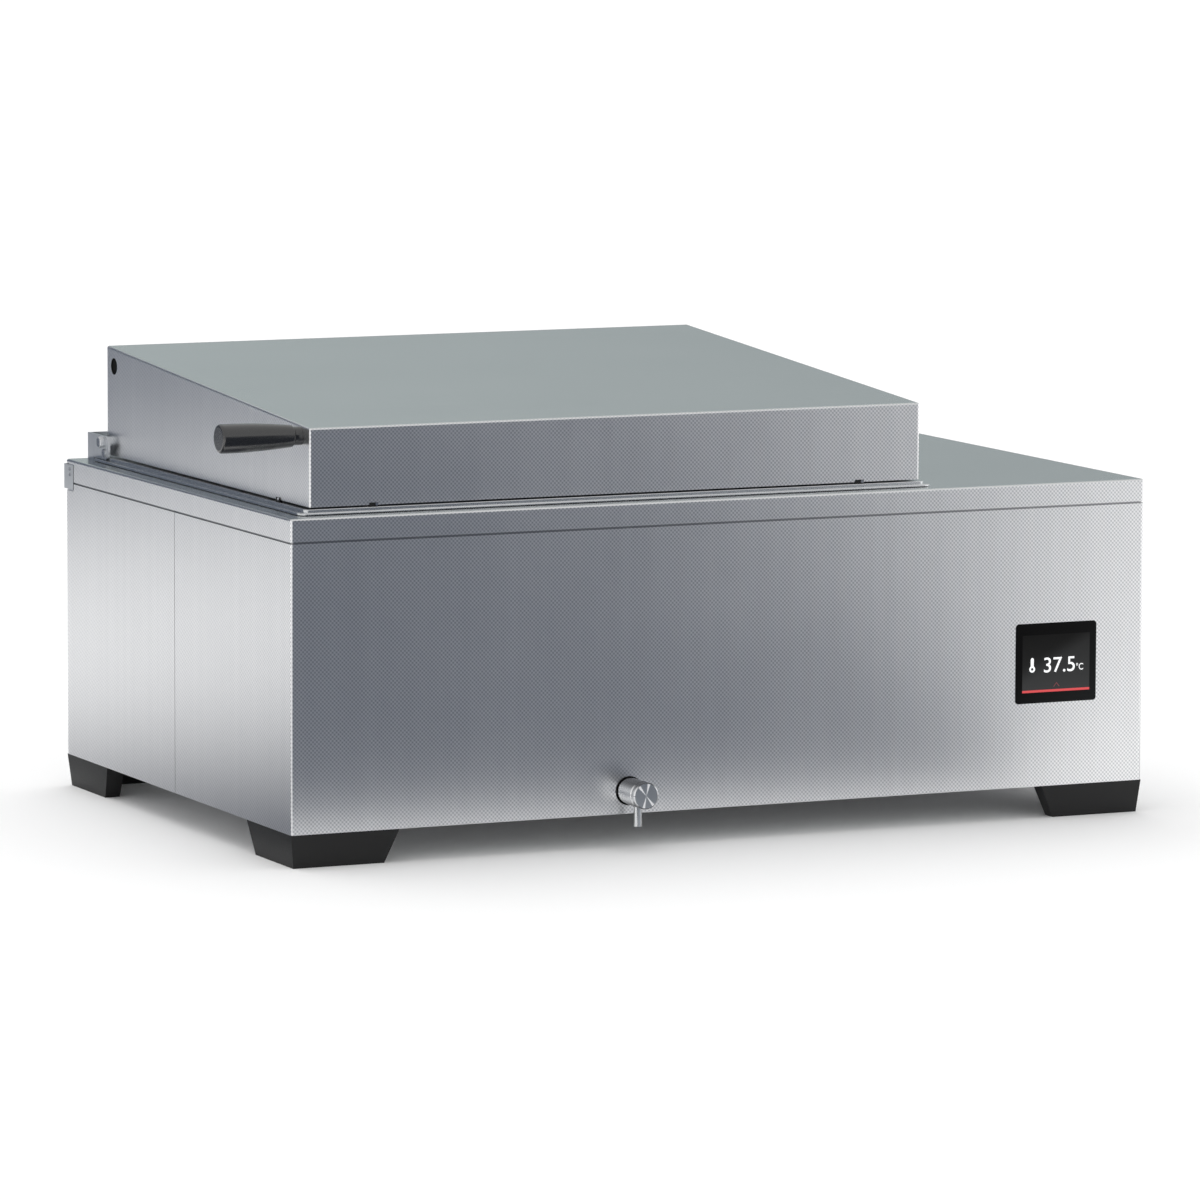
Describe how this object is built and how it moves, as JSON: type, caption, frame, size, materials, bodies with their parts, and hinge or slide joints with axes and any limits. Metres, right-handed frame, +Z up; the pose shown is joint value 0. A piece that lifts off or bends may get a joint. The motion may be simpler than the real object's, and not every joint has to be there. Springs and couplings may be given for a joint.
{
  "type": "laboratory water bath",
  "caption": "Stainless laboratory water bath: deep heated tank, sloping lid hinged at the back, drain tap, touch display and black corner feet.",
  "frame": {"origin": "on the floor, in the middle of the whole footprint (handle, tap and rear brackets included)", "axes": "+X along the front from the handle side to the display side, +Y from the front to the back, +Z up"},
  "size_m": [0.8698, 0.573, 0.4039],
  "materials": {
    "stainless_sheet": "fine embossed texture",
    "stainless_smooth": "satin, smooth",
    "zinc_sheet": "zinc plated",
    "hinge_steel": "bright",
    "fastener_steel": "bright",
    "polished_steel": "turned and polished",
    "valve_brass": "turned",
    "black_foot": "matt",
    "black_grip": "satin",
    "seal_rubber": "matt",
    "display_glass": "glossy black",
    "display_housing": "moulded",
    "switch_black": "moulded",
    "circuit_board": "lacquered",
    "transformer_core": "varnished",
    "heat_sink": "extruded",
    "heater_mat": "silicone",
    "insulation_wool": "fibre"
  },
  "bodies": {
    "housing": {"base_pan": "zinc_sheet", "base_screws": "fastener_steel", "corner_bracket_left": "hinge_steel", "corner_bracket_right": "hinge_steel", "corner_screws": "fastener_steel", "display_board": "circuit_board", "display_frame": "display_housing", "display_glass": "display_glass", "drain_fitting": "stainless_smooth", "drain_pipe": "valve_brass", "drain_spout": "polished_steel", "ear_screws": "fastener_steel", "foot_front_left": "black_foot", "foot_front_right": "black_foot", "foot_rear_left": "black_foot", "foot_rear_right": "black_foot", "foot_screws": "fastener_steel", "front_shell": "stainless_sheet", "heater_pad_bottom": "heater_mat", "heater_pad_left": "heater_mat", "heater_pad_right": "heater_mat", "hinge_bracket_left": "hinge_steel", "hinge_bracket_right": "hinge_steel", "hinge_bracket_screws": "fastener_steel", "insulation_back": "insulation_wool", "insulation_bottom": "insulation_wool", "insulation_front": "insulation_wool", "insulation_left": "insulation_wool", "insulation_right": "insulation_wool", "mains_inlet": "switch_black", "partition_wall": "zinc_sheet", "power_board": "circuit_board", "rear_shell": "stainless_sheet", "relay_block": "heat_sink", "rim_gasket": "seal_rubber", "seat_frame": "stainless_smooth", "switch_housing": "switch_black", "tank": "stainless_smooth", "temperature_sensors": "fastener_steel", "terminal_block": "switch_black", "top_cover": "stainless_smooth", "transformer": "transformer_core", "valve_body": "polished_steel", "valve_nut": "valve_brass", "valve_seal": "seal_rubber"},
    "lid": {"lid_shell": "stainless_sheet", "lid_handle": "black_grip", "handle_collar": "black_grip", "handle_stud": "fastener_steel", "handle_nut": "fastener_steel", "port_plug": "seal_rubber", "lid_buffers": "seal_rubber", "buffer_rivets": "fastener_steel", "hinge_bolt_left": "fastener_steel", "hinge_bolt_right": "fastener_steel", "hinge_spacers": "hinge_steel", "hinge_nuts": "fastener_steel"},
    "tap_knob": {"drain_knob": "polished_steel"},
    "rocker": {"switch_rocker": "switch_black"}
  },
  "joints": [
    {"name": "lid_hinge", "type": "hinge", "parent": "housing", "child": "lid", "pos_m": [-0.0695, 0.2355, 0.3174], "axis": [-1, 0, 0], "range_deg": [0, 65]},
    {"name": "drain_tap_turn", "type": "hinge", "parent": "housing", "child": "tap_knob", "pos_m": [-0.0695, -0.2815, 0.049], "axis": [0, -1, 0], "range_deg": [0, 90]},
    {"name": "power_rocker", "type": "hinge", "parent": "housing", "child": "rocker", "pos_m": [0.37998, 0.28125, 0.0945], "axis": [1, 0, 0], "range_deg": [0, 20]}
  ]
}
